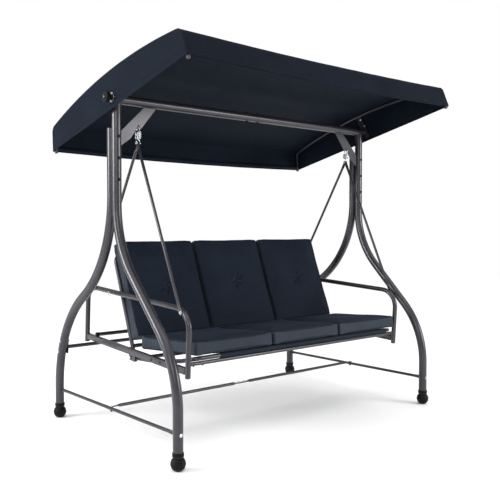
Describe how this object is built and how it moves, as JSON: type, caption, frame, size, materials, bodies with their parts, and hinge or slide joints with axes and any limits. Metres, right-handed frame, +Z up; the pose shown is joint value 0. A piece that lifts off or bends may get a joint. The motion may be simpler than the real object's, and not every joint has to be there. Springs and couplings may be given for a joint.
{
  "type": "canopy swing bench",
  "caption": "Three-seat garden swing bench hung from a curved tube stand, with a tilting fabric canopy, a reclining cushioned back and a boxed seat cushion.",
  "frame": {"origin": "centre of the footprint, on the ground under the feet", "axes": "+X along the bench towards its right end as a person facing it sees it, -Y out of the front of the seat, +Z up"},
  "size_m": [1.86, 1.2556, 1.7933],
  "materials": {
    "frame_paint": "satin gunmetal grey powder coat on steel tube",
    "zinc_steel": "zinc plated",
    "black_plastic": "matt moulded",
    "canopy_fabric": "matt woven polyester, dark navy",
    "sling_fabric": "matt woven mesh, dark navy",
    "cushion_fabric": "matt woven polyester over foam, dark navy"
  },
  "bodies": {
    "stand": {"leg_front_left": "frame_paint", "leg_front_right": "frame_paint", "leg_rear_left": "frame_paint", "leg_rear_right": "frame_paint", "foot_front_left": "black_plastic", "foot_front_right": "black_plastic", "foot_rear_left": "black_plastic", "foot_rear_right": "black_plastic", "post_cap_left": "black_plastic", "post_cap_right": "black_plastic", "top_frame_left": "frame_paint", "top_frame_right": "frame_paint", "gusset_left": "frame_paint", "gusset_right": "frame_paint", "side_stretcher_left": "frame_paint", "side_stretcher_right": "frame_paint", "long_stretcher_left": "frame_paint", "long_stretcher_right": "frame_paint", "rear_crossbar": "frame_paint", "crossbar_saddle_left": "frame_paint", "crossbar_saddle_right": "frame_paint", "pivot_bracket_left": "frame_paint", "pivot_bracket_right": "frame_paint", "canopy_pivot_left": "zinc_steel", "canopy_pivot_right": "zinc_steel"},
    "seat": {"spring_left": "zinc_steel", "spring_right": "zinc_steel", "hanger_front_left": "frame_paint", "hanger_front_right": "frame_paint", "hanger_rear_left": "frame_paint", "hanger_rear_right": "frame_paint", "armrest_left": "frame_paint", "armrest_right": "frame_paint", "side_rail_left": "frame_paint", "side_rail_right": "frame_paint", "seat_front_rail": "frame_paint", "seat_pan_frame": "frame_paint", "rest_bar": "frame_paint", "seat_sling": "sling_fabric", "hinge_plate_left": "frame_paint", "hinge_plate_right": "frame_paint", "hinge_pin_left": "zinc_steel", "hinge_pin_right": "zinc_steel", "seat_cushion": "cushion_fabric"},
    "backrest": {"back_frame": "frame_paint", "back_sling": "sling_fabric", "back_cushion_left": "cushion_fabric", "back_cushion_middle": "cushion_fabric", "back_cushion_right": "cushion_fabric"},
    "canopy": {"canopy_cover": "canopy_fabric", "canopy_arch_left": "frame_paint", "canopy_arch_right": "frame_paint", "canopy_rail_front": "frame_paint", "canopy_rail_rear": "frame_paint", "canopy_strap_left": "frame_paint", "canopy_strap_right": "frame_paint"},
    "knob_left": {"knob_left": "black_plastic"},
    "knob_right": {"knob_right": "black_plastic"},
    "lock_pin_left": {"lock_pin_left": "zinc_steel"},
    "lock_pin_right": {"lock_pin_right": "zinc_steel"}
  },
  "joints": [
    {"name": "seat_swing", "type": "hinge", "parent": "stand", "child": "seat", "pos_m": [0, -0.0114, 1.486], "axis": [1, 0, 0], "range_deg": [-20, 20]},
    {"name": "back_recline", "type": "hinge", "parent": "seat", "child": "backrest", "pos_m": [0, 0.1111, 0.37], "axis": [-1, 0, 0], "range_deg": [0, 50]},
    {"name": "canopy_tilt", "type": "hinge", "parent": "stand", "child": "canopy", "pos_m": [0, -0.0389, 1.597], "axis": [1, 0, 0], "range_deg": [-15, 15]},
    {"name": "knob_left_turn", "type": "hinge", "parent": "stand", "child": "knob_left", "pos_m": [-0.892, -0.0389, 1.597], "axis": [-1, 0, 0], "continuous": true},
    {"name": "knob_right_turn", "type": "hinge", "parent": "stand", "child": "knob_right", "pos_m": [0.892, -0.0389, 1.597], "axis": [1, 0, 0], "continuous": true},
    {"name": "lock_pin_left_pull", "type": "slide", "parent": "seat", "child": "lock_pin_left", "axis": [-1, 0, 0], "range_m": [0, 0.03]},
    {"name": "lock_pin_right_pull", "type": "slide", "parent": "seat", "child": "lock_pin_right", "axis": [1, 0, 0], "range_m": [0, 0.03]}
  ]
}
